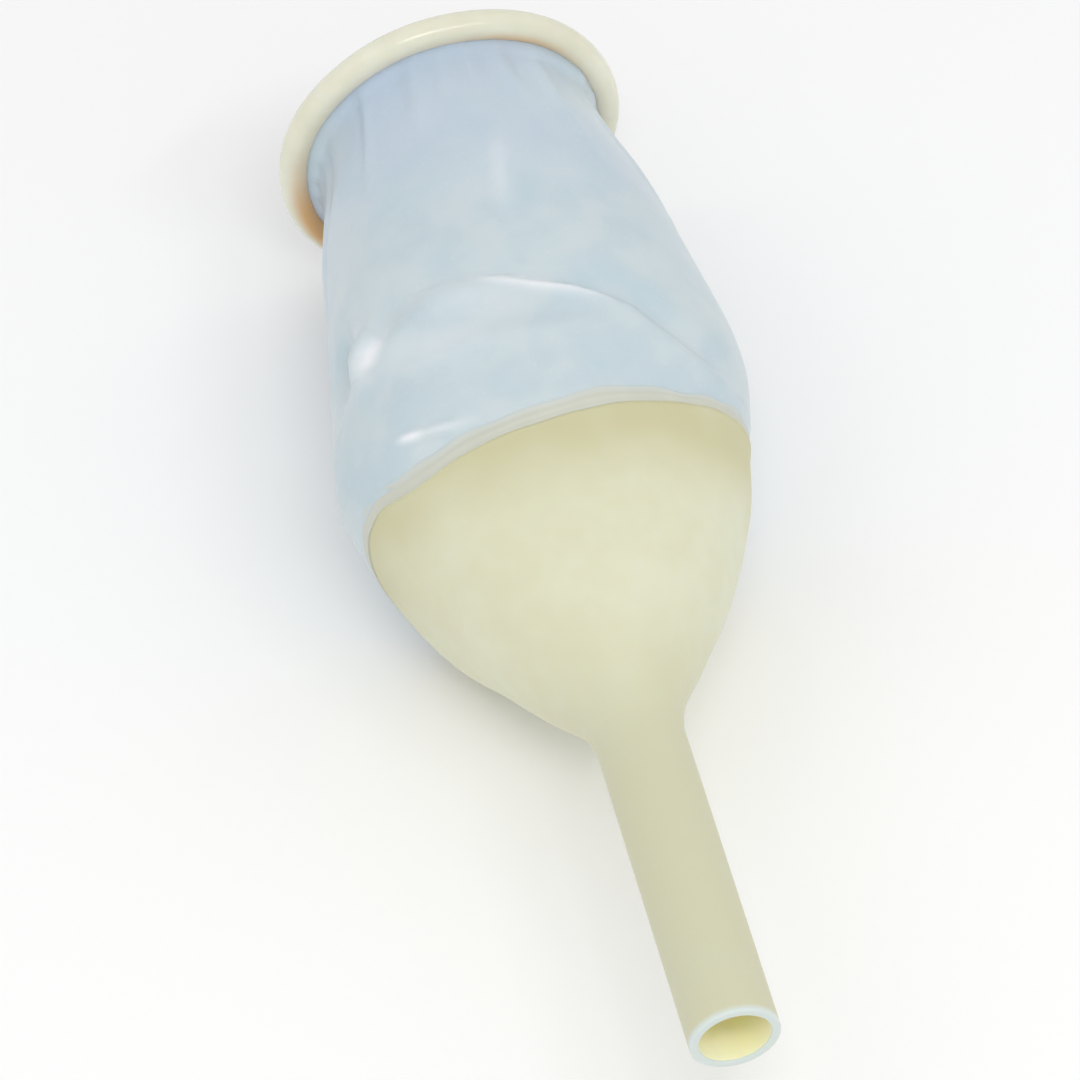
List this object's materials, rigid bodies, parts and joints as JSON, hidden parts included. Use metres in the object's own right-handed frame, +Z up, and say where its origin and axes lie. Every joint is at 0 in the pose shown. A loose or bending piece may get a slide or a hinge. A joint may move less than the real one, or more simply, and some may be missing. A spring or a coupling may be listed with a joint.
{
  "type": "urinary sheath with drain funnel",
  "caption": "Soft latex urinary sheath: a thin film tube with a rolled rim, cemented into a funnel that narrows to a round outlet tube for a drainage bag.",
  "frame": {"origin": "middle of the footprint, on the table that the soft body lies on", "axes": "+Z up; the body's long axis lies along Y, the outlet tube points along -Y and the rolled rim faces +Y"},
  "size_m": [0.042, 0.1198, 0.0369],
  "materials": {
    "cream_latex": "satin",
    "pale_film": "satin",
    "cement": "satin",
    "rolled_film": "satin"
  },
  "bodies": {
    "catheter": {"funnel": "cream_latex", "bond_band": "cement", "sheath": "pale_film"},
    "rim": {"rolled_rim": "rolled_film"}
  },
  "joints": [
    {"name": "rim_roll", "type": "slide", "parent": "catheter", "child": "rim", "axis": [0, -1, 0], "range_m": [0, 0.034], "deforming": ["sheath"]}
  ]
}
